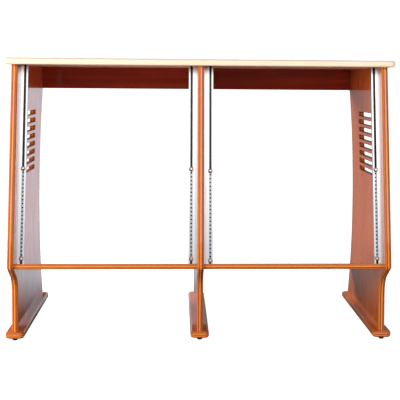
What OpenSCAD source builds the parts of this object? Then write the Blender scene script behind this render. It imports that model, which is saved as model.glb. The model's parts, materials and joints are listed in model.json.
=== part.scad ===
// Two-bay rack stand: a wooden worktop on three plywood panels, with two sloping
// shelves and four aluminium tracks that carry sliding threaded rack strips.
// Millimetres. X runs across the stand, Y towards its back, Z up from the floor.

/* [Stand] */
// Clear width of each bay, panel to panel
bay_w = 500; // [496:1:520]
// Height of the worktop's upper face above the floor
stand_h = 790; // [740:1:840]
// Thickness of the three upright panels
panel_t = 18; // [16:1:20]
// Backward lean of the tracks, and downward slope of the shelves, in degrees
rack_tilt = 10; // [8:0.5:12]

/* [Worktop] */
// Thickness of the worktop
top_t = 18; // [16:1:22]
// How far the worktop stands out past the outer panels
top_side_overhang = 17; // [8:1:25]
// Depth of the worktop
top_d = 628; // [600:1:660]
// Radius of the worktop's corners, seen from above
top_corner_r = 12; // [5:1:20]

/* [Panels] */
// Height of the lowest point of each panel's front jaw
jaw_z = 216; // [207:1:227]
// How far the leg's front edge sits behind the jaw
leg_setback = 88; // [75:1:100]
// Radius of the sweep from the jaw down into the leg
leg_sweep_r = 60; // [45:1:70]
// Radius of the hollow rear edge
rear_hollow_r = 760; // [700:10:900]
// Depth of the panel at the waist of its rear edge
waist_d = 558; // [540:1:580]
// Height of that waist
waist_z = 347; // [320:1:370]

/* [Vents] */
// Number of slots in each outer panel
vent_count = 8; // [4:1:8]
// Height of one slot
vent_h = 14; // [8:1:16]
// Length of one slot
vent_l = 236; // [120:1:240]
// Distance from one slot to the next
vent_pitch = 24; // [20:1:26]
// Height of the topmost slot's centre line
vent_top_z = 630; // [600:1:640]

/* [Feet] */
// Width of each sled foot
foot_w = 52; // [44:1:60]
// Height of each sled foot
foot_h = 18; // [16:1:22]
// Length of each sled foot
foot_l = 570; // [550:1:590]
// Radius of a sled foot's corners, seen from above
foot_corner_r = 14; // [6:1:20]
// Gap between the floor and a sled foot
glide_gap = 6; // [4:0.5:8]
// Diameter of a glide
glide_d = 15; // [12:1:20]

/* [Shelves and rails] */
// Thickness of the sloping shelves
shelf_t = 15; // [12:1:16]
// Depth of the shelves
shelf_d = 560; // [450:10:565]
// Height of the back rails
rail_h = 69; // [60:1:80]
// Thickness of the back rails
rail_t = 18; // [16:1:20]

/* [Tracks and strips] */
// Distance between the two columns of rack holes in a bay
column_gap = 465.1; // [462:0.1:468]
// How far the tracks sit behind the panels' front edges
track_setback = 28; // [20:1:32]
// Width of a track's face
track_w = 25.2; // [24.6:0.1:26]
// Depth of a track's fixing flange
track_d = 30; // [28:1:34]
// Width of the slot down a track's face
track_slot = 6.4; // [6:0.1:7]
// Number of threaded holes in a strip, the clamped end holes included
strip_holes = 24; // [12:1:28]
// Distance from one strip hole to the next
strip_pitch = 10.8; // [10:0.1:11.2]
// Height of the lower clamp screw above the shelf, along the track
strip_rest = 14; // [12:0.5:20]
// How much lower the third strip is set
strip_offset = 5; // [0:0.5:5]
// Diameter of a clamp screw's domed head
dome_d = 13; // [11:0.5:14]

/* [Hidden] */

$fn = 48;
eps = 0.01;          // overshoot that keeps cuts from ending flush
fit = 0.05;          // radial clearance of a screw, stud or dowel in its bore
gap = 0.3;           // clearance between parts that move past each other
arc_steps = 24;      // straight steps in each curved stretch of the panel outline

// Places across the stand
panel_pitch = bay_w + panel_t;
stand_w = 3 * panel_t + 2 * bay_w + 2 * top_side_overhang;
panel_x = [-panel_pitch, 0, panel_pitch];
column_inset = (bay_w - column_gap) / 2;

// Heights
foot_top_z = glide_gap + foot_h;
panel_top_z = stand_h - top_t;
rail_z = panel_top_z - rail_h;

// Places from front to back, measured from where the front edges meet the jaws' undersides
top_front_y = 72;
foot_front_y = leg_setback - 12;
rail_front_y = 622;
rack_y = 30;         // track face where it meets the shelf
rack_z = 226;

// Panel outline
jaw_r = 10;
rear_top_r = 10;
underjaw_fall = 30;  // slope of the jaw's underside, in degrees

// Tracks: the channel behind the slot, and the flange that lies on the panel
lip_t = 2.5;
wall_t = 1.5;
cavity_w = 12.5;
cavity_d = 8.5;
flange_t = 2.5;
face_step_w = 5.5;   // narrow ledge beside the panel, set back from the face
face_step_d = 1;
track_l = (panel_top_z - rack_z) / cos(rack_tilt) - track_d * tan(rack_tilt);

// Rack strips
strip_w = 11.8;
strip_t = 3;
strip_hole_r = 2.5;  // core of an M6 thread
mark_r = 0.7;        // small paired dimples between the holes
mark_x = 2.1;
strip_l = strip_holes * strip_pitch;
clamp_span = (strip_holes - 1) * strip_pitch;

// Clamp screws
dome_h = 4.2;
socket_af = 4;
clamp_tip = 2;       // thread that shows behind the strip

// Glides
glide_inset = 16;
glide_h = glide_gap - gap;
stud_r = 2.95;
stud_l = 15;
insert_r = 4.5;
insert_l = 12;

// Fastenings
wood_screw_r = 2;
foot_screw_r = 2.5;
foot_screw_l = 50;
foot_screw_head_r = 4.5;
foot_screw_head_h = 4;
foot_screw_places = [90, 285, 480];
rail_dowel_r = 4;
shelf_dowel_r = 3;
dowel_in_panel = 12;
dowel_in_board = 22;
rail_dowel_rises = [17, 52];
shelf_dowel_places = [80, 270, 460];
track_screw_rises = [25, 155, 285, 415, 520];
track_screw_depth = 22;
track_screw_grip = 8;
track_screw_head_r = 3.5;
track_screw_head_h = 1.8;
bracket_leg = 22;
bracket_t = 2;
bracket_w = 20;
bracket_hole = 13;   // from the bend to each hole
bracket_screw_grip = 12;
bracket_head_r = 3.6;
bracket_head_h = 2;
front_bracket_y = 185;
centre_bracket_shift = 40;
rear_bracket_x = [-380, -140, 140, 380];

maple = [0.93, 0.86, 0.72];
cherry = [0.76, 0.38, 0.18];
mahogany = [0.3, 0.09, 0.03];
anodised = [0.9, 0.91, 0.92];
zinc = [0.62, 0.65, 0.68];
chrome = [0.85, 0.86, 0.87];
black = [0.08, 0.08, 0.09];
steel = [0.55, 0.56, 0.58];
beech = [0.8, 0.65, 0.45];

// ---- Helpers ----

// Moves the model so that its origin is under the middle of its depth
module centre_depth() {
    translate([0, -(jaw_front_y + top_front_y + top_d) / 2, 0]) children();
}

// The rack's own axes: X across, Y into the stand behind the track face,
// Z up along the track from the shelf's upper face
module on_rack(x = 0) {
    centre_depth()
        translate([x, rack_y, rack_z])
        rotate([-rack_tilt, 0, 0])
        children();
}

// Stands a profile drawn in depth and height up as a board of thickness t, centred on x
module upright_board(x, t) {
    centre_depth()
        translate([x - t / 2, 0, 0])
        rotate([90, 0, 90])
        linear_extrude(t) children();
}

module rounded_plate(w, d, h, r) {
    linear_extrude(h) {
        translate([r, 0]) square([w - 2 * r, d]);
        translate([0, r]) square([w, d - 2 * r]);
        for (x = [r, w - r], y = [r, d - r])
            translate([x, y]) circle(r);
    }
}

// A rod along X from x0 to x1
module rod_x(r, x0, x1) {
    translate([x0, 0, 0]) rotate([0, 90, 0]) cylinder(r = r, h = x1 - x0);
}

// ---- Panel outline, in depth and height ----

function arc(c, r, a0, a1) = [
    for (i = [0 : arc_steps])
        let (a = a0 + (a1 - a0) * i / arc_steps)
            c + r * [cos(a), sin(a)]
];

// Front edge: a straight line leaning back from the jaw to the worktop
function front_y(z) = (z - jaw_z) * tan(rack_tilt);

// Centre of the rounded jaw, which touches the front edge and the underside
jaw_half = (90 - rack_tilt + underjaw_fall) / 2;
jaw_dir = (90 - rack_tilt - underjaw_fall) / 2;
jaw_c = [0, jaw_z] + jaw_r / sin(jaw_half) * [cos(jaw_dir), sin(jaw_dir)];
jaw_front_y = jaw_c[0] - jaw_r;

// Centre of the sweep, which touches the underside and the leg's front edge
sweep_touch_y = leg_setback - leg_sweep_r * (1 - sin(underjaw_fall));
sweep_c = [
    leg_setback - leg_sweep_r,
    jaw_z - sweep_touch_y * tan(underjaw_fall) - leg_sweep_r * cos(underjaw_fall)
];

// Rear edge: an arc that is nearest to the front at the waist
rear_c = [waist_d + rear_hollow_r, waist_z];
function rear_angle(z) = 180 - asin((z - waist_z) / rear_hollow_r);
rear_top_z = panel_top_z - rear_top_r;
rear_top_y = rear_c[0] + rear_hollow_r * cos(rear_angle(rear_top_z));

module panel_outline() {
    polygon(concat(
        [[front_y(panel_top_z), panel_top_z]],
        arc(jaw_c, jaw_r, 180 - rack_tilt, 270 - underjaw_fall),
        arc(sweep_c, leg_sweep_r, 90 - underjaw_fall, 0),
        [[leg_setback, foot_top_z]],
        arc(rear_c, rear_hollow_r, rear_angle(foot_top_z), rear_angle(rear_top_z)),
        arc([rear_top_y - rear_top_r, rear_top_z], rear_top_r, 0, 90)
    ));
}

// ---- Wood ----

module vent_slot() {
    r = vent_h / 2;
    translate([r, -r]) square([vent_l - vent_h, vent_h]);
    for (y = [r, vent_l - r])
        translate([y, 0]) circle(r);
}

// Slots that step back with the lean of the front edge
module vents() {
    margin = 152;
    for (i = [0 : vent_count - 1]) {
        z = vent_top_z - i * vent_pitch;
        translate([front_y(z) + margin, z]) vent_slot();
    }
}

// Bores for the rail dowels, running along X between x0 and x1
module rail_dowel_bores(x0, x1) {
    centre_depth()
        for (rise = rail_dowel_rises)
            translate([0, rail_front_y + rail_t / 2, rail_z + rise])
                rod_x(rail_dowel_r + fit, x0, x1);
}

module shelf_dowel_bores(x0, x1) {
    on_rack()
        for (place = shelf_dowel_places)
            translate([0, place, -shelf_t / 2])
                rod_x(shelf_dowel_r + fit, x0, x1);
}

module track_screw_bores(x0, x1) {
    on_rack()
        for (rise = track_screw_rises)
            translate([0, track_screw_depth, rise])
                rod_x(wood_screw_r + fit, x0, x1);
}

module foot_screw_bores(x, z0, z1) {
    centre_depth()
        for (place = foot_screw_places)
            translate([x, foot_front_y + place, z0])
                cylinder(r = foot_screw_r + fit, h = z1 - z0);
}

module bracket_bore_x(y, x0, x1) {
    centre_depth()
        translate([0, y, panel_top_z - bracket_hole])
        rod_x(wood_screw_r + fit, x0, x1);
}

// Everything drilled into a panel's face on one side: side is 1 for its right, -1 for its left
module inner_face_bores(x, side, bracket_y) {
    face = x + side * panel_t / 2;
    deep = face - side * dowel_in_panel;
    out = face + side;
    rail_dowel_bores(min(deep, out), max(deep, out));
    shelf_dowel_bores(min(deep, out), max(deep, out));
    grip = face - side * track_screw_grip;
    track_screw_bores(min(grip, out), max(grip, out));
    screw = face - side * bracket_screw_grip;
    bracket_bore_x(bracket_y, min(screw, out), max(screw, out));
}

module bottom_edge_bores(x) {
    foot_screw_bores(x, foot_top_z - eps, glide_gap + foot_screw_head_h + foot_screw_l);
}

module outer_panel(x, side) {
    color(cherry) difference() {
        upright_board(x, panel_t) difference() {
            panel_outline();
            vents();
        }
        inner_face_bores(x, side, front_bracket_y);
        bottom_edge_bores(x);
    }
}

module left_panel() { outer_panel(panel_x[0], 1); }

module right_panel() { outer_panel(panel_x[2], -1); }

module centre_panel() {
    color(cherry) difference() {
        upright_board(0, panel_t) panel_outline();
        rail_dowel_bores(-panel_t, panel_t);
        shelf_dowel_bores(-panel_t, panel_t);
        for (side = [-1, 1]) {
            face = side * panel_t / 2;
            grip = face - side * track_screw_grip;
            track_screw_bores(min(grip, 2 * face), max(grip, 2 * face));
            screw = face - side * bracket_screw_grip;
            bracket_bore_x(centre_bracket_y(side), min(screw, 2 * face), max(screw, 2 * face));
        }
        bottom_edge_bores(0);
    }
}

// The centre panel's two brackets are staggered so that their screws pass each other
function centre_bracket_y(side) = front_bracket_y + (side > 0 ? centre_bracket_shift : 0);

module foot(x) {
    color(cherry) difference() {
        centre_depth()
            translate([x - foot_w / 2, foot_front_y, glide_gap])
            rounded_plate(foot_w, foot_l, foot_h, foot_corner_r);
        foot_screw_bores(x, 0, foot_top_z + 1);
        centre_depth() {
            for (place = foot_screw_places)
                translate([x, foot_front_y + place, 0])
                    cylinder(r = foot_screw_head_r + fit, h = glide_gap + foot_screw_head_h);
            for (y = glide_places)
                translate([x, y, 0])
                    cylinder(r = insert_r + fit, h = glide_gap + stud_l - 2 * gap);
        }
    }
}

module worktop() {
    color(maple) difference() {
        centre_depth()
            translate([-stand_w / 2, top_front_y, panel_top_z])
            rounded_plate(stand_w, top_d, top_t, top_corner_r);
        for (p = bracket_places)
            centre_depth()
                translate([p[0], p[1], panel_top_z - 1])
                rotate([0, 0, p[2]])
                translate([bracket_hole, 0, 0])
                cylinder(r = wood_screw_r + fit, h = 1 + bracket_screw_grip);
    }
}

module back_rail(side) {
    x0 = side * panel_t / 2;
    x1 = side * (panel_t / 2 + bay_w);
    color(mahogany) difference() {
        centre_depth()
            translate([min(x0, x1), rail_front_y, rail_z])
            cube([bay_w, rail_t, rail_h]);
        for (end = [x0, x1])
            rail_dowel_bores(end - dowel_in_board - 1, end + dowel_in_board + 1);
        centre_depth()
            for (x = rear_bracket_x)
                translate([x, rail_front_y + rail_t + 1, panel_top_z - bracket_hole])
                    rotate([90, 0, 0])
                    cylinder(r = wood_screw_r + fit, h = 1 + bracket_screw_grip);
    }
}

module shelf(side) {
    x0 = side * panel_t / 2;
    x1 = side * (panel_t / 2 + bay_w);
    front_n = -track_setback + 12;
    color(cherry) difference() {
        on_rack()
            translate([min(x0, x1), front_n, -shelf_t])
            cube([bay_w, shelf_d, shelf_t]);
        for (end = [x0, x1])
            shelf_dowel_bores(end - dowel_in_board - 1, end + dowel_in_board + 1);
    }
}

// ---- Tracks ----
// A track's profile starts at the panel face (X = 0) and grows towards the bay

slot_x = column_inset;

module track_profile() {
    cavity_x = slot_x - cavity_w / 2;
    box_d = lip_t + cavity_d + wall_t;
    difference() {
        union() {
            translate([face_step_w, 0]) square([track_w - face_step_w, lip_t]);
            translate([0, face_step_d]) square([face_step_w + eps, lip_t - face_step_d]);
            square_from(0, face_step_d, flange_t, track_d);
            square_from(cavity_x - wall_t, 0, track_w, box_d);
        }
        square_from(cavity_x, lip_t, cavity_x + cavity_w, lip_t + cavity_d);
        square_from(slot_x - track_slot / 2, -1, slot_x + track_slot / 2, lip_t + eps);
    }
}

module square_from(x0, y0, x1, y1) {
    translate([x0, y0]) square([x1 - x0, y1 - y0]);
}

// Track i (0 to 3, left to right): the panel face it is fixed to, and which way the bay lies
function track_face(i) = panel_x[floor((i + 1) / 2)] + track_side(i) * panel_t / 2;
function track_side(i) = i % 2 == 0 ? 1 : -1;

// Axes of track i: X = 0 at its panel face, growing towards the bay
module in_track(i) {
    on_rack(track_face(i))
        mirror([track_side(i) < 0 ? 1 : 0, 0, 0])
        children();
}

module track(i) {
    color(anodised) difference() {
        in_track(i) difference() {
            linear_extrude(track_l + track_d) track_profile();
            for (rise = track_screw_rises)
                translate([0, track_screw_depth, rise])
                    rod_x(wood_screw_r + fit, -1, flange_t + 1);
        }
        // cut level under the worktop
        centre_depth()
            translate([-stand_w, 0, panel_top_z])
            cube([2 * stand_w, top_front_y + top_d, 2 * track_d]);
    }
}

// ---- Strips and clamp screws ----

function strip_low(i) = strip_rest - (i == 2 ? strip_offset : 0);
strip_face = lip_t + gap;

module rack_strip(i) {
    color(zinc)
        in_track(i)
        translate([slot_x, strip_face, strip_low(i)])
        difference() {
            translate([-strip_w / 2, 0, -strip_pitch / 2]) cube([strip_w, strip_t, strip_l]);
            for (k = [0 : strip_holes - 1])
                translate([0, -1, k * strip_pitch])
                    rotate([-90, 0, 0])
                    cylinder(r = strip_hole_r, h = strip_t + 2);
            for (k = [0 : strip_holes - 2], side = [-1, 1])
                translate([side * mark_x, -1, (k + 0.5) * strip_pitch])
                    rotate([-90, 0, 0])
                    cylinder(r = mark_r, h = 2, $fn = 24);
        }
}

// A domed head that seats on the track's face, and a threaded shank into the strip's end hole
module clamp_screw(i, upper) {
    shank_l = gap + lip_t + gap + strip_t + clamp_tip;
    cap_r = (pow(dome_d / 2, 2) + pow(dome_h, 2)) / (2 * dome_h);
    color(chrome)
        in_track(i)
        translate([slot_x, -gap, strip_low(i) + (upper ? clamp_span : 0)])
        rotate([90, 0, 0])
        difference() {
            union() {
                intersection() {
                    translate([0, 0, dome_h - cap_r]) sphere(cap_r, $fn = 64);
                    cylinder(r = dome_d, h = dome_h + 1);
                }
                translate([0, 0, -shank_l]) cylinder(r = strip_hole_r - fit, h = shank_l + eps);
            }
            translate([0, 0, dome_h - 2])
                cylinder(d = socket_af / cos(30), h = 3, $fn = 6);
        }
}

// ---- Glides ----

glide_places = [foot_front_y + glide_inset, foot_front_y + foot_l - glide_inset];

module at_glide(x, rear) {
    centre_depth() translate([x, glide_places[rear ? 1 : 0], 0]) children();
}

// A hard-wearing disc with a bevelled tread and a short boss that holds its stud
module glide(x, rear) {
    r = glide_d / 2;
    color(black) at_glide(x, rear) difference() {
        rotate_extrude() polygon([
            [0, 0], [r - 1.2, 0], [r, 1.2], [r, glide_h - 0.6], [r - 0.6, glide_h], [0, glide_h]
        ]);
        translate([0, 0, 1.2]) cylinder(r = stud_r, h = glide_h);
    }
}

module glide_stud(x, rear) {
    color(steel) at_glide(x, rear)
        translate([0, 0, 1.2]) cylinder(r = stud_r, h = stud_l);
}

module glide_inserts() {
    color(steel)
        for (x = panel_x, rear = [false, true])
            at_glide(x, rear)
                translate([0, 0, glide_gap])
                difference() {
                    cylinder(r = insert_r, h = insert_l);
                    translate([0, 0, -1]) cylinder(r = stud_r + fit, h = insert_l + 2);
                }
}

// ---- Fastenings ----

// A screw along +Z: head below z = 0, shank above it and set half into the head
module screw(r, l, head_r, head_h) {
    socket_r = head_r * 0.42;
    socket_h = head_h * 0.45;
    translate([0, 0, -head_h / 2]) cylinder(r = r, h = l + head_h / 2);
    translate([0, 0, -head_h]) difference() {
        cylinder(r = head_r, h = head_h);
        translate([0, 0, -1]) cylinder(r = socket_r, h = 1 + socket_h, $fn = 6);
    }
}

module foot_screws() {
    color(steel) centre_depth()
        for (x = panel_x, place = foot_screw_places)
            translate([x, foot_front_y + place, glide_gap + foot_screw_head_h])
                screw(foot_screw_r, foot_screw_l - 1, foot_screw_head_r, foot_screw_head_h - gap);
}

// Dowels across the joints between boards and panels, in the axes that the caller sets
module dowel_set(r) {
    outer_face = panel_pitch - panel_t / 2;
    slack = 1;
    for (side = [-1, 1]) {
        a = side * (outer_face - dowel_in_board);
        b = side * (outer_face + dowel_in_panel - slack);
        rod_x(r, min(a, b), max(a, b));
    }
    through = panel_t / 2 + dowel_in_board;
    rod_x(r, -through, through);
}

module rail_dowels() {
    color(beech) centre_depth()
        for (rise = rail_dowel_rises)
            translate([0, rail_front_y + rail_t / 2, rail_z + rise]) dowel_set(rail_dowel_r);
}

module shelf_dowels() {
    color(beech) on_rack()
        for (place = shelf_dowel_places)
            translate([0, place, -shelf_t / 2]) dowel_set(shelf_dowel_r);
}

module track_screws() {
    color(steel)
        for (i = [0 : 3], rise = track_screw_rises)
            in_track(i)
                translate([flange_t, track_screw_depth, rise])
                rotate([0, -90, 0])
                screw(wood_screw_r, flange_t + track_screw_grip - 1,
                      track_screw_head_r, track_screw_head_h);
}

// Bracket places: the bend's x and y, and the heading of the bracket's level leg
bracket_places = concat(
    [[panel_x[0] + panel_t / 2, front_bracket_y, 0]],
    [[-panel_t / 2, centre_bracket_y(-1), 180]],
    [[panel_t / 2, centre_bracket_y(1), 0]],
    [[panel_x[2] - panel_t / 2, front_bracket_y, 180]],
    [for (x = rear_bracket_x) [x, rail_front_y + rail_t, 90]]
);

module at_bracket(p) {
    centre_depth() translate([p[0], p[1], panel_top_z]) rotate([0, 0, p[2]]) children();
}

// An angle: one leg up against the board behind it, one flat under the worktop
module angle_bracket() {
    difference() {
        union() {
            translate([0, -bracket_w / 2, -bracket_t])
                cube([bracket_leg, bracket_w, bracket_t]);
            translate([0, -bracket_w / 2, -bracket_leg])
                cube([bracket_t, bracket_w, bracket_leg]);
        }
        translate([bracket_hole, 0, -bracket_t - 1])
            cylinder(r = wood_screw_r + fit, h = bracket_t + 2);
        translate([0, 0, -bracket_hole])
            rod_x(wood_screw_r + fit, -1, bracket_t + 1);
    }
}

module top_brackets() {
    color(steel)
        for (p = bracket_places)
            at_bracket(p) angle_bracket();
}

module bracket_screws() {
    l = bracket_t + bracket_screw_grip - 1;
    color(steel)
        for (p = bracket_places)
            at_bracket(p) {
                translate([bracket_hole, 0, -bracket_t])
                    screw(wood_screw_r, l, bracket_head_r, bracket_head_h);
                translate([bracket_t, 0, -bracket_hole])
                    rotate([0, -90, 0])
                    screw(wood_screw_r, l, bracket_head_r, bracket_head_h);
            }
}

// ---- Nodes ----

worktop();
left_panel();
centre_panel();
right_panel();
foot(panel_x[0]);  // left_foot
foot(panel_x[1]);  // centre_foot
foot(panel_x[2]);  // right_foot
back_rail(-1);  // left_back_rail
back_rail(1);  // right_back_rail
shelf(-1);  // left_shelf
shelf(1);  // right_shelf
track(0);  // track_1
track(1);  // track_2
track(2);  // track_3
track(3);  // track_4
rack_strip(0);  // rack_strip_1
rack_strip(1);  // rack_strip_2
rack_strip(2);  // rack_strip_3
rack_strip(3);  // rack_strip_4
clamp_screw(0, true);  // clamp_screw_1_upper
clamp_screw(0, false);  // clamp_screw_1_lower
clamp_screw(1, true);  // clamp_screw_2_upper
clamp_screw(1, false);  // clamp_screw_2_lower
clamp_screw(2, true);  // clamp_screw_3_upper
clamp_screw(2, false);  // clamp_screw_3_lower
clamp_screw(3, true);  // clamp_screw_4_upper
clamp_screw(3, false);  // clamp_screw_4_lower
glide(panel_x[0], false);  // glide_left_front
glide(panel_x[0], true);  // glide_left_rear
glide(panel_x[1], false);  // glide_centre_front
glide(panel_x[1], true);  // glide_centre_rear
glide(panel_x[2], false);  // glide_right_front
glide(panel_x[2], true);  // glide_right_rear
glide_stud(panel_x[0], false);  // glide_stud_left_front
glide_stud(panel_x[0], true);  // glide_stud_left_rear
glide_stud(panel_x[1], false);  // glide_stud_centre_front
glide_stud(panel_x[1], true);  // glide_stud_centre_rear
glide_stud(panel_x[2], false);  // glide_stud_right_front
glide_stud(panel_x[2], true);  // glide_stud_right_rear
glide_inserts();
foot_screws();
rail_dowels();
shelf_dowels();
track_screws();
top_brackets();
bracket_screws();
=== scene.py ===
import json
import math

import bmesh
import bpy
from mathutils import Matrix, Vector

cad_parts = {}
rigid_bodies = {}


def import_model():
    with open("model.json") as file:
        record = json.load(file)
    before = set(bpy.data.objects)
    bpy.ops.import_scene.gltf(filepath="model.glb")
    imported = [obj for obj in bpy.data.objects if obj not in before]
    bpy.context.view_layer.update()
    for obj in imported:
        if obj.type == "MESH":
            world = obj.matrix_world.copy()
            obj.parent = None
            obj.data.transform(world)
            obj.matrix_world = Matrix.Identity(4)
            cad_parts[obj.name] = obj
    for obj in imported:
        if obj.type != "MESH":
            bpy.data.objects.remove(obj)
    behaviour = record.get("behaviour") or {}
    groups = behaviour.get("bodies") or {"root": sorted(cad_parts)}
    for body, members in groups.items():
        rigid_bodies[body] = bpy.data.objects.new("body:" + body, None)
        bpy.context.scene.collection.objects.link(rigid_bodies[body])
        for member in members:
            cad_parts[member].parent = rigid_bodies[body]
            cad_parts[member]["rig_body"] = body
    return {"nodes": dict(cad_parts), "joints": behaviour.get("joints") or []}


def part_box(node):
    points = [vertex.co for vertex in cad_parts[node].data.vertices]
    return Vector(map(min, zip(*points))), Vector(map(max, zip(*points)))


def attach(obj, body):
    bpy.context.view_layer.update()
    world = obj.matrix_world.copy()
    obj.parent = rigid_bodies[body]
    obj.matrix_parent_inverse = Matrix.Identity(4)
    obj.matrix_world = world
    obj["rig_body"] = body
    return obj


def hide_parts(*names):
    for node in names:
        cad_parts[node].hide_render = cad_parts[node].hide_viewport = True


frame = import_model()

MM = 0.001
AXIS_X, AXIS_Y, AXIS_Z = Vector((1, 0, 0)), Vector((0, 1, 0)), Vector((0, 0, 1))
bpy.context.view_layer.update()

# The tracks, strips and shelves lean back: UP_TRACK runs along a track, INTO_TRACK square to its face
UP_TRACK = Vector(next(j["axis"] for j in frame["joints"] if j["name"] == "strip_1_slide"))
INTO_TRACK = UP_TRACK.cross(AXIS_X)


# ---- Materials ----

def srgb(red, green, blue):
    """A colour given as the eye sees it, 0 to 255, as the linear colour that a shader takes."""
    def linear(c):
        c /= 255
        return c / 12.92 if c <= 0.04045 else ((c + 0.055) / 1.055) ** 2.4
    return linear(red), linear(green), linear(blue), 1


class Finish:
    """A procedural material, with short calls that add nodes to it.
    Every piece's own axes run X along its grain or length and Z through its thickness."""

    def __init__(self, name, **constants):
        self.material = bpy.data.materials.new(name)
        self.material.use_nodes = True
        self.tree = self.material.node_tree
        self.shader = self.tree.nodes["Principled BSDF"]
        for socket, value in constants.items():
            self.shader.inputs[socket.replace("_", " ")].default_value = value
        self.point = self.add("TexCoord", {}, "Object")
        shift = self.add("ObjectInfo", {}, "Random")
        apart = self.add("CombineXYZ", {"X": self.sum("MULTIPLY", shift, 7), "Y": shift})
        self.seeded = self.add("VectorMath", {0: self.point, 1: apart}, operation="ADD")

    def add(self, kind, inputs, output=0, **settings):
        node = self.tree.nodes.new("ShaderNode" + kind)
        for name, value in settings.items():
            setattr(node, name, value)
        for key, value in inputs.items():
            self.feed(node.inputs[key], value)
        return node.outputs[output]

    def feed(self, socket, value):
        if isinstance(value, bpy.types.NodeSocket):
            self.tree.links.new(value, socket)
        else:
            socket.default_value = value

    def sum(self, operation, a, b=0.0):
        return self.add("Math", {0: a, 1: b}, operation=operation)

    def part(self, axis):
        """The place along one of the piece's own axes."""
        return self.add("SeparateXYZ", {0: self.point}, axis)

    def near(self, axis, middle, reach):
        """1 where the place along an axis is within reach of the middle, else 0."""
        return self.add("Math", {0: self.part(axis), 1: middle, 2: reach}, operation="COMPARE")

    def noise(self, length, width, depth=None, detail=3, rough=0.55, warp=0.0, start=None):
        """Noise from 0 to 1 whose features are about that long, wide and deep, in metres."""
        size = (1 / length, 1 / width, 1 / (depth or width))
        at = self.add("Mapping", {"Vector": start or self.seeded, "Scale": size})
        return self.add("TexNoise", {"Vector": at, "Scale": 1, "Detail": detail,
                                     "Roughness": rough, "Distortion": warp})

    def remap(self, value, low, high, to_low=0.0, to_high=1.0):
        return self.add("MapRange", {"Value": value, "From Min": low, "From Max": high,
                                     "To Min": to_low, "To Max": to_high})

    def ramp(self, value, *stops):
        """Colours at places from 0 to 1: each stop is (place, colour)."""
        colour = self.add("ValToRGB", {"Fac": value})
        band = colour.node.color_ramp
        while len(band.elements) < len(stops):
            band.elements.new(0.5)
        for element, (place, shade) in zip(band.elements, stops):
            element.position = place
            element.color = shade
        return colour

    def mix(self, share, a, b, blend="MIX"):
        return self.add("Mix", {0: share, 6: a, 7: b}, 2, data_type="RGBA", blend_type=blend)

    def finish(self, colour, roughness, height=None, relief=0.1 * MM, strength=0.5):
        self.feed(self.shader.inputs["Base Color"], colour)
        self.feed(self.shader.inputs["Roughness"], roughness)
        if height is not None:
            bump = self.add("Bump", {"Height": height, "Strength": strength, "Distance": relief})
            self.feed(self.shader.inputs["Normal"], bump)
        return self.material


def stained_ply(name, thickness, plies, shades, seams, vents=None):
    """Stained and lacquered plywood. The layers follow the depth, so they show wherever an edge cuts them.
    shades are the dark, middle and light colours of a face; seams are the edge's colours in long grain, in
    end grain and near the faces. vents gives the middle and the reach, along X and along Y, of holes."""
    f = Finish(name, Coat_Weight=0.9, Coat_Roughness=0.04, Coat_IOR=1.5, Specular_IOR_Level=0.05)
    figure = f.noise(1.6, 0.05, 0.3, detail=2, warp=1.2)
    fibres = f.noise(0.25, 2.2 * MM, detail=4, rough=0.65)
    pores = f.noise(14 * MM, 0.5 * MM, detail=2, rough=0.4)
    dark, middle, light = shades
    tone = f.sum("ADD", f.sum("MULTIPLY", figure, 0.62), f.sum("MULTIPLY", fibres, 0.38))
    face = f.ramp(tone, (0.36, dark), (0.5, middle), (0.64, light))
    face = f.mix(f.remap(pores, 0.62, 0.72, 0, 0.45), face, dark)

    deep = f.part("Z")
    level = f.add("Math", {0: deep, 1: plies / thickness, 2: plies / 2}, operation="MULTIPLY_ADD")
    across = f.sum("MODULO", f.sum("FLOOR", level), 2)
    long_grain, end_grain, rim = seams
    streaks = f.remap(f.noise(0.08, 1.2 * MM, detail=4, rough=0.7), 0.3, 0.7, 0.75, 1.15)
    specks = f.remap(f.noise(0.9 * MM, 0.6 * MM, detail=3, rough=0.7), 0.3, 0.7, 0.7, 1.15)
    along = f.mix(1, long_grain, streaks, "MULTIPLY")
    end = f.mix(1, end_grain, specks, "MULTIPLY")
    edge = f.mix(across, along, end)
    glue = f.sum("ABSOLUTE", f.sum("SUBTRACT", f.sum("FRACT", level), 0.5))
    edge = f.mix(f.remap(glue, 0.44, 0.5, 0, 0.7), edge, dark)
    outer = f.remap(f.sum("ABSOLUTE", deep), 0.3 * thickness, 0.47 * thickness, 0, 0.8)
    edge = f.mix(outer, edge, rim)
    # Painted shade: the edge colour inside the vents is darkened towards a dark red-brown, as shade in the
    # recess
    if vents:
        (x, reach_x), (y, reach_y) = vents
        painted_shade_zone = f.sum("MULTIPLY", f.near("X", x, reach_x), f.near("Y", y, reach_y))
        edge = f.mix(f.sum("MULTIPLY", painted_shade_zone, 0.7), edge, VENT_WALL_SHADE)

    # The face veneer is about 0.7 mm thick; inside it the layers show
    skin = f.remap(f.sum("ABSOLUTE", deep), thickness / 2 - 0.9 * MM, thickness / 2 - 0.6 * MM)
    colour = f.mix(skin, edge, face)
    roughness = f.remap(f.noise(0.12, 0.05, detail=3), 0.3, 0.7, 0.26, 0.4)
    return f.finish(colour, roughness, f.sum("ADD", fibres, pores), 0.05 * MM, 0.35)


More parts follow.
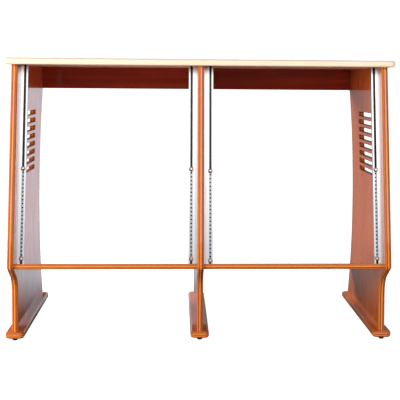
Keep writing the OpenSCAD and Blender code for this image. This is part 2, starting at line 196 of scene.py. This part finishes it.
def solid_wood(name, shades, gloss, coat, fleck=0.35):
    """Solid wood with long grain, close fibres and short dark flecks under lacquer."""
    f = Finish(name, Coat_Weight=coat, Coat_Roughness=0.05, Coat_IOR=1.5, Specular_IOR_Level=0.05)
    dark, middle, light = shades
    figure = f.noise(1.1, 0.028, 0.05, detail=3, warp=0.9)
    fibres = f.noise(0.18, 1.6 * MM, detail=4, rough=0.6)
    flecks = f.noise(9 * MM, 0.45 * MM, detail=2, rough=0.4)
    tone = f.sum("ADD", f.sum("MULTIPLY", figure, 0.6), f.sum("MULTIPLY", fibres, 0.4))
    colour = f.ramp(tone, (0.36, dark), (0.5, middle), (0.65, light))
    colour = f.mix(f.remap(flecks, 0.63, 0.74, 0, fleck), colour, dark)
    roughness = f.remap(f.noise(0.1, 0.04, detail=3), 0.3, 0.7, gloss - 0.05, gloss + 0.07)
    return f.finish(colour, roughness, f.sum("ADD", fibres, flecks), 0.04 * MM, 0.3)


def bare_metal(name, shades, roughness, length, width, relief=0.01 * MM, mottle=0.0, recess_shade=None):
    """Metal with fine lines along its length, uneven shine, and mottling if it is plated.
    The last argument is (half width, Z where the painted shade starts, Z where it is full, colour): shade
    painted into the metal inside a groove or bore."""
    f = Finish(name, Metallic=1.0)
    low, high = shades
    lines = f.noise(length, width, detail=3, rough=0.7)
    cloud = f.noise(18 * MM, 18 * MM, detail=4)
    tone = f.remap(f.sum("ADD", lines, f.sum("MULTIPLY", cloud, 0.5 + mottle)), 0.5, 1.1 + mottle / 2)
    colour = f.mix(tone, low, high)
    if recess_shade:
        half_width, shallow, deep, dark = recess_shade
        # Painted shade: inside a groove or bore the metal is darkened with depth, as shade falls there
        painted_shade_zone = f.near("Y", 0, half_width)
        colour = f.mix(f.sum("MULTIPLY", painted_shade_zone, f.remap(f.part("Z"), shallow, deep)), colour, dark)
    rough_low, rough_high = roughness
    shine = f.remap(f.sum("ADD", lines, cloud), 0.7, 1.3, rough_low, rough_high)
    return f.finish(colour, shine, lines, relief, 0.4)


def moulded_nylon(name):
    """Matt black plastic with a fine grain."""
    f = Finish(name, Specular_IOR_Level=0.4)
    grain = f.noise(0.35 * MM, 0.35 * MM, detail=4)
    cloud = f.noise(4 * MM, 4 * MM, detail=2)
    colour = f.mix(cloud, srgb(22, 22, 24), srgb(40, 39, 40))
    return f.finish(colour, f.remap(grain, 0.3, 0.7, 0.45, 0.65), grain, 0.03 * MM, 0.5)


CHERRY = (srgb(190, 93, 36), srgb(203, 106, 43), srgb(211, 115, 49))
CHERRY_EDGE = (srgb(224, 140, 66), srgb(162, 70, 28), srgb(146, 52, 20))
MAHOGANY = (srgb(112, 33, 12), srgb(130, 41, 16), srgb(146, 50, 21))
MAPLE = (srgb(226, 204, 174), srgb(237, 218, 191), srgb(244, 229, 206))
BEECH = (srgb(176, 132, 88), srgb(201, 160, 114), srgb(217, 181, 138))
# The colour of the painted shade on the walls inside the vents
VENT_WALL_SHADE = srgb(96, 34, 18)

SHELF_T = 15 * MM            # square to the slope, so its box doesn't give it
PANEL_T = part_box("left_panel")[1].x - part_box("left_panel")[0].x
FOOT_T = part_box("left_foot")[1].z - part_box("left_foot")[0].z

# Painted shade in a groove or bore, where the metal lies in shadow: half width, Z where it starts, Z where
# it is full, colour
TRACK_SLOT_SHADE = (7 * MM, 0.4 * MM, 2 * MM, srgb(58, 55, 54))
STRIP_BORE_SHADE = (7 * MM, -1.46 * MM, -1.3 * MM, srgb(10, 10, 11))

shelf_ply = stained_ply("cherry_ply_shelf", SHELF_T, 5, CHERRY, CHERRY_EDGE)
foot_ply = stained_ply("cherry_ply_foot", FOOT_T, 7, CHERRY, CHERRY_EDGE)
mahogany = solid_wood("mahogany_stain", MAHOGANY, 0.28, 0.9)
maple = solid_wood("maple_lacquer", MAPLE, 0.36, 0.35, fleck=0.2)
beech = solid_wood("beech_bare", BEECH, 0.6, 0.0)
anodised = bare_metal("anodised_aluminium", (srgb(218, 220, 224), srgb(234, 235, 237)),
                      (0.32, 0.38), 0.4, 0.35 * MM, recess_shade=TRACK_SLOT_SHADE)
zinc = bare_metal("zinc_plate", (srgb(168, 172, 178), srgb(200, 203, 207)),
                  (0.3, 0.4), 0.05, 0.5 * MM, mottle=0.5, recess_shade=STRIP_BORE_SHADE)
chrome = bare_metal("chrome_plate", (srgb(230, 231, 233), srgb(243, 243, 244)),
                    (0.28, 0.36), 2 * MM, 2 * MM, relief=0.002 * MM)
hardware = bare_metal("bright_zinc", (srgb(160, 164, 172), srgb(206, 208, 208)),
                      (0.22, 0.36), 6 * MM, 0.6 * MM, mottle=0.4)
nylon = moulded_nylon("black_nylon")


# ---- Pieces made from the CAD nodes' shapes ----

FLAT = math.radians(0.5)     # faces that meet at less than this are one flat face
CREASE = math.radians(35)    # edges sharper than this are edges of the shape
MERGE = 0.002 * MM           # vertices closer than this are one vertex
END_GAP = 0.05 * MM          # edges nearer than this to an end are edges of that end

# Chains of edges are told apart by the longest side of their box
ANY = 10                     # metres, wider than any chain
BORE = 12 * MM               # rims of drilled bores are narrower than this
VENT_SPAN = (200 * MM, 300 * MM)  # rims of vents are between these


def sharp_chains(bm):
    """The sharp edges of a mesh, in chains of edges that touch."""
    left = {e for e in bm.edges if len(e.link_faces) == 2 and e.calc_face_angle() > CREASE}
    while left:
        chain, waiting = set(), [left.pop()]
        while waiting:
            edge = waiting.pop()
            chain.add(edge)
            near = {other for v in edge.verts for other in v.link_edges} & left
            left -= near
            waiting += near
        yield chain


def span(chain):
    """The longest side of the box round a chain of edges."""
    points = [v.co for edge in chain for v in edge.verts]
    return max(max(p[k] for p in points) - min(p[k] for p in points) for k in range(3))


def cad_mesh(node):
    """A CAD node's mesh, to edit, with one vertex at each corner and one face on each flat side."""
    bm = bmesh.new()
    bm.from_mesh(frame["nodes"][node].data)
    bmesh.ops.remove_doubles(bm, verts=bm.verts, dist=MERGE)
    bmesh.ops.dissolve_limit(bm, angle_limit=FLAT, verts=bm.verts, edges=bm.edges)
    return bm


def vents_in(node):
    """The middle and the reach of a panel's vents along Z and along Y, measured from its own middle."""
    low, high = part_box(node)
    bm = cad_mesh(node)
    rims = [v.co for chain in sharp_chains(bm) if VENT_SPAN[0] < span(chain) < VENT_SPAN[1]
            for edge in chain for v in edge.verts]
    reach = []
    for axis in (2, 1):
        least, most = min(p[axis] for p in rims), max(p[axis] for p in rims)
        reach.append(((least + most - low[axis] - high[axis]) / 2, (most - least) / 2))
    bm.free()
    return reach


def axes(length, thickness, origin):
    """A piece's own axes: X along length, Z through thickness."""
    across = thickness.cross(length)
    turn = Matrix((length, across, thickness)).transposed()
    return Matrix.Translation(origin) @ turn.to_4x4()


def refined(node, name, material, length, thickness, rounding, square_ends=None, origin=None):
    """A piece in a CAD node's shape, with its edges rounded, that takes the node's place.
    rounding lists (smallest span, largest span, radius, segments) for chains of edges of that span;
    other rims stay sharp, and so do the edges of the piece's two ends along the axis square_ends.
    The piece's own axes meet at origin, or else at the middle of its box."""
    source = frame["nodes"][node]
    low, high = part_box(node)
    bm = cad_mesh(node)
    for least, most, radius, segments in rounding:
        chosen = [e for chain in sharp_chains(bm) if least < span(chain) < most for e in chain]
        if square_ends is not None:
            for end in (low[square_ends], high[square_ends]):
                chosen = [e for e in chosen
                          if any(abs(v.co[square_ends] - end) > END_GAP for v in e.verts)]
        bm.edges.index_update()
        chosen.sort(key=lambda e: e.index)
        bmesh.ops.bevel(bm, geom=chosen, offset=radius, offset_type="OFFSET", segments=segments,
                        profile=0.5, affect="EDGES", clamp_overlap=False)
    for face in bm.faces:
        face.smooth = True
    for edge in bm.edges:
        edge.smooth = edge.calc_face_angle(0) < CREASE
    mesh = bpy.data.meshes.new(name)
    bm.to_mesh(mesh)
    bm.free()
    place = axes(length, thickness, origin or (low + high) / 2)
    mesh.transform(place.inverted())
    mesh.materials.append(material)
    piece = bpy.data.objects.new(name, mesh)
    piece.matrix_world = place
    bpy.context.scene.collection.objects.link(piece)
    shading = piece.modifiers.new("even_shading", "WEIGHTED_NORMAL")
    shading.keep_sharp = True
    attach(piece, source["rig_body"])
    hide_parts(node)


# Radii of the rounded edges
PANEL_EDGE, FOOT_EDGE, VENT_EDGE, SHELF_EDGE = 8 * MM, 6 * MM, 2 * MM, 5 * MM
TOP_EDGE, RAIL_EDGE = 6 * MM, 1.5 * MM
TRACK_EDGE, STRIP_EDGE, SCREW_EDGE, GLIDE_EDGE = 0.3 * MM, 0.2 * MM, 0.15 * MM, 0.3 * MM

panel_ply = stained_ply("cherry_ply_panel", PANEL_T, 5, CHERRY, CHERRY_EDGE, vents_in("left_panel"))
panel_rounding = [(VENT_SPAN[1], ANY, PANEL_EDGE, 8), (*VENT_SPAN, VENT_EDGE, 3)]
for side in ("left", "centre", "right"):
    refined(f"{side}_panel", f"{side}_panel_board", panel_ply,
            AXIS_Z, -AXIS_X, panel_rounding, square_ends=2)
    refined(f"{side}_foot", f"{side}_foot_board", foot_ply,
            AXIS_Y, AXIS_Z, [(BORE, ANY, FOOT_EDGE, 6)])
for side in ("left", "right"):
    refined(f"{side}_shelf", f"{side}_shelf_board", shelf_ply,
            AXIS_X, UP_TRACK, [(BORE, ANY, SHELF_EDGE, 5)], square_ends=0)
    refined(f"{side}_back_rail", f"{side}_back_rail_board", mahogany,
            AXIS_X, -AXIS_Y, [(BORE, ANY, RAIL_EDGE, 3)], square_ends=0)
refined("worktop", "worktop_board", maple, AXIS_X, AXIS_Z, [(BORE, ANY, TOP_EDGE, 5)])

# Tracks, strips and clamp screws. A track's own axes meet at its lower clamp screw, on the track's face
for number in range(1, 5):
    seat = next(j["pos_m"] for j in frame["joints"] if j["name"] == f"clamp_{number}_lower_turn")
    refined(f"track_{number}", f"track_{number}_extrusion", anodised,
            UP_TRACK, INTO_TRACK, [(BORE, ANY, TRACK_EDGE, 2)], origin=Vector(seat))
    refined(f"rack_strip_{number}", f"rack_strip_{number}_plate", zinc,
            UP_TRACK, INTO_TRACK, [(3 * MM, ANY, STRIP_EDGE, 1)])
    for end in ("upper", "lower"):
        refined(f"clamp_screw_{number}_{end}", f"clamp_screw_{number}_{end}_dome", chrome,
                UP_TRACK, INTO_TRACK, [(2 * MM, ANY, SCREW_EDGE, 2)])

for side in ("left", "centre", "right"):
    for end in ("front", "rear"):
        refined(f"glide_{side}_{end}", f"glide_{side}_{end}_pad", nylon,
                AXIS_X, AXIS_Z, [(6 * MM, ANY, GLIDE_EDGE, 2)])

# Hardware and dowels keep their CAD shape
KEPT = {
    "steel_hardware": (hardware, ["glide_inserts", "foot_screws", "track_screws", "top_brackets",
                                  "bracket_screws"]
                       + [n for n in frame["nodes"] if n.startswith("glide_stud")]),
    "beech_dowel": (beech, ["rail_dowels", "shelf_dowels"]),
}
for slot_name, (material, nodes) in KEPT.items():
    for node in nodes:
        kept = frame["nodes"][node]
        kept.data.materials.clear()
        kept.data.materials.append(material)


# ---- Floor, backdrop, lights and camera ----

def seen_by(piece, camera=False, diffuse=False, glossy=False):
    """Limits which rays meet a stage piece, as a flag or a reflector out of shot does."""
    piece.visible_camera = camera
    piece.visible_diffuse = diffuse
    piece.visible_glossy = glossy
    piece.visible_transmission = camera
    piece.visible_volume_scatter = False
    piece.visible_shadow = False


def stage_mesh(name, points, faces, material):
    """A smooth stage piece of one material, in the scene."""
    mesh = bpy.data.meshes.new(name)
    mesh.from_pydata(points, [], faces)
    for face in mesh.polygons:
        face.use_smooth = True
    mesh.materials.append(material)
    piece = bpy.data.objects.new(name, mesh)
    bpy.context.scene.collection.objects.link(piece)
    return piece


def stage_finish(name, colour, glow=0.0):
    """A matt surface, a little uneven, that can glow white."""
    f = Finish(name)
    cloud = f.noise(2.0, 2.0, detail=2)
    shade = f.mix(f.remap(cloud, 0.3, 0.7, 0, 0.04), colour, srgb(225, 225, 228))
    f.shader.inputs["Emission Color"].default_value = (1, 1, 1, 1)
    f.shader.inputs["Emission Strength"].default_value = glow
    return f.finish(shade, 0.9)


def sweep_points(half_width, front, back, rise, bend, steps=16):
    """A floor that curves up into a backdrop: its points and faces."""
    profile = [(front, 0.0), (back - bend, 0.0)]
    for k in range(1, steps + 1):
        a = math.pi / 2 * k / steps
        profile.append((back - bend + bend * math.sin(a), bend - bend * math.cos(a)))
    profile.append((back, rise))
    points = [(x, y, z) for y, z in profile for x in (-half_width, half_width)]
    faces = [(2 * k, 2 * k + 1, 2 * k + 3, 2 * k + 2) for k in range(len(profile) - 1)]
    return points, faces


def flat(x0, x1, start, end):
    """A flat card between two X and two places in depth and height: its points and faces."""
    points = [(x, y, z) for y, z in (start, end) for x in (x0, x1)]
    return points, [(0, 1, 3, 2)]


# What the camera sees: a white sweep
sweep = stage_mesh("studio_sweep", *sweep_points(half_width=9, front=-9, back=5, rise=6, bend=2),
                   stage_finish("studio_white", srgb(188, 188, 188), 1.0))
seen_by(sweep, camera=True)

# What lights the undersides: a grey floor
bounce = stage_mesh("bounce_floor", *flat(-6, 6, (-6, 0), (6, 0)),
                    stage_finish("studio_grey", srgb(150, 140, 136)))
seen_by(bounce, diffuse=True)


def card_finish(name, tint, across, along, axis):
    """A card that glows. across gives its glow at places in X, along what multiplies it at two Y or Z."""
    f = Finish(name)
    left, width = across[0][0], across[-1][0] - across[0][0]
    at = f.remap(f.part("X"), left, left + width)
    glow = f.ramp(at, *(((x - left) / width, (level, level, level, 1)) for x, level in across))
    (start, share_start), (end, share_end) = along
    share = f.remap(f.part(axis), start, end, share_start, share_end)
    f.shader.inputs["Emission Color"].default_value = tint
    f.feed(f.shader.inputs["Emission Strength"], f.sum("MULTIPLY", glow, share))
    return f.finish((0, 0, 0, 1), 1.0)


EVEN = ((0, 1), (1, 1))
PLAIN, COOL = (1, 1, 1, 1), (0.93, 0.96, 1.05, 1)

# What the lacquer reflects behind the stand: a card that is brighter on its left, and the floor before it
CARD_Y = 0.9
CARD_GLOW = ((-0.57, 0.1), (-0.46, 0.87), (-0.3, 0.87), (-0.05, 0.56), (0.2, 0.26), (0.7, 0.15))
card = stage_mesh("backdrop_card", *flat(-3, 3, (CARD_Y, 0.001), (CARD_Y, 3)),
                  card_finish("card_white", COOL, CARD_GLOW, ((0, 0.88), (0.15, 1)), "Z"))
seen_by(card, glossy=True)
gleam = stage_mesh("floor_gleam", *flat(-3, 3, (-6, 0.001), (CARD_Y, 0.001)),
                   card_finish("gleam_white", COOL, CARD_GLOW, ((0.05, 0.04), (0.7, 0.88)), "Y"))
seen_by(gleam, glossy=True)

# What the edges and the metal reflect from the front, and a low glow that reaches in under the worktop
front_card = stage_mesh("front_card", *flat(-4, 4, (-3.2, 0.85), (-3.2, 3.6)),
                        card_finish("front_white", PLAIN, ((-2, 1.6), (2, 2.5)), EVEN, "Z"))
seen_by(front_card, glossy=True)
front_glow = stage_mesh("front_glow", *flat(-3, 3, (-4, 0.05), (-4, 0.75)),
                        card_finish("glow_white", PLAIN, ((-2, 3.2), (2, 2.4)), EVEN, "Z"))
seen_by(front_glow, diffuse=True)


def softbox(name, azimuth, elevation, distance, width, height, power):
    """A rectangular light aimed at the stand, in degrees, metres and watts.
    Azimuth goes to the right of straight in front. The lacquer reflects the cards, and not the lights."""
    a, e = math.radians(azimuth), math.radians(elevation)
    away = Vector((math.sin(a) * math.cos(e), -math.cos(a) * math.cos(e), math.sin(e)))
    data = bpy.data.lights.new(name, "AREA")
    data.shape = "RECTANGLE"
    data.size = width
    data.size_y = height
    data.energy = power
    lamp = bpy.data.objects.new(name, data)
    lamp.visible_glossy = False
    lamp.location = MIDDLE + away * distance
    lamp.rotation_euler = (-away).to_track_quat("-Z", "Y").to_euler()
    bpy.context.scene.collection.objects.link(lamp)


MIDDLE = Vector((0, 0, 0.45))     # what the lights are aimed at
softbox("key_left", -42, 13, 3.2, 3.2, 0.8, 76)
softbox("low_left", -52, -6, 2.6, 1.2, 0.3, 28)
softbox("fill_right", 50, 13, 3.2, 1.9, 0.8, 38)
softbox("side_left", -132, 21, 3.2, 2.4, 1.0, 128)
softbox("back_light", 190, 35, 3.6, 2.2, 1.4, 20)

world = bpy.data.worlds.new("studio_air")
world.use_nodes = True
world.node_tree.nodes["Background"].inputs["Color"].default_value = (0.98, 0.97, 1.0, 1)
world.node_tree.nodes["Background"].inputs["Strength"].default_value = 0.05
bpy.context.scene.world = world
bpy.context.scene.view_settings.view_transform = "Standard"

# The camera stands left of the middle, turned a little right and tipped a little down
CAMERA_AT = Vector((-67.9, -3139.6, 726.4)) * MM
YAW, PITCH, ROLL = math.radians(2.84), math.radians(3.16), math.radians(-0.44)
LENS_MM = 92.72
SHIFT_X, SHIFT_Y = -0.0692, -0.152

ahead = Vector((math.sin(YAW) * math.cos(PITCH), math.cos(YAW) * math.cos(PITCH), -math.sin(PITCH)))
level_right = Vector((math.cos(YAW), -math.sin(YAW), 0))
down = ahead.cross(level_right)
right = math.cos(ROLL) * level_right + math.sin(ROLL) * down
up = math.sin(ROLL) * level_right - math.cos(ROLL) * down

view = bpy.data.cameras.new("camera")
view.lens = LENS_MM
view.sensor_width = 36
view.shift_x = SHIFT_X
view.shift_y = SHIFT_Y
view.clip_end = 100
camera = bpy.data.objects.new("camera", view)
camera.matrix_world = Matrix.Translation(CAMERA_AT) @ Matrix((right, up, -ahead)).transposed().to_4x4()
bpy.context.scene.collection.objects.link(camera)
bpy.context.scene.camera = camera
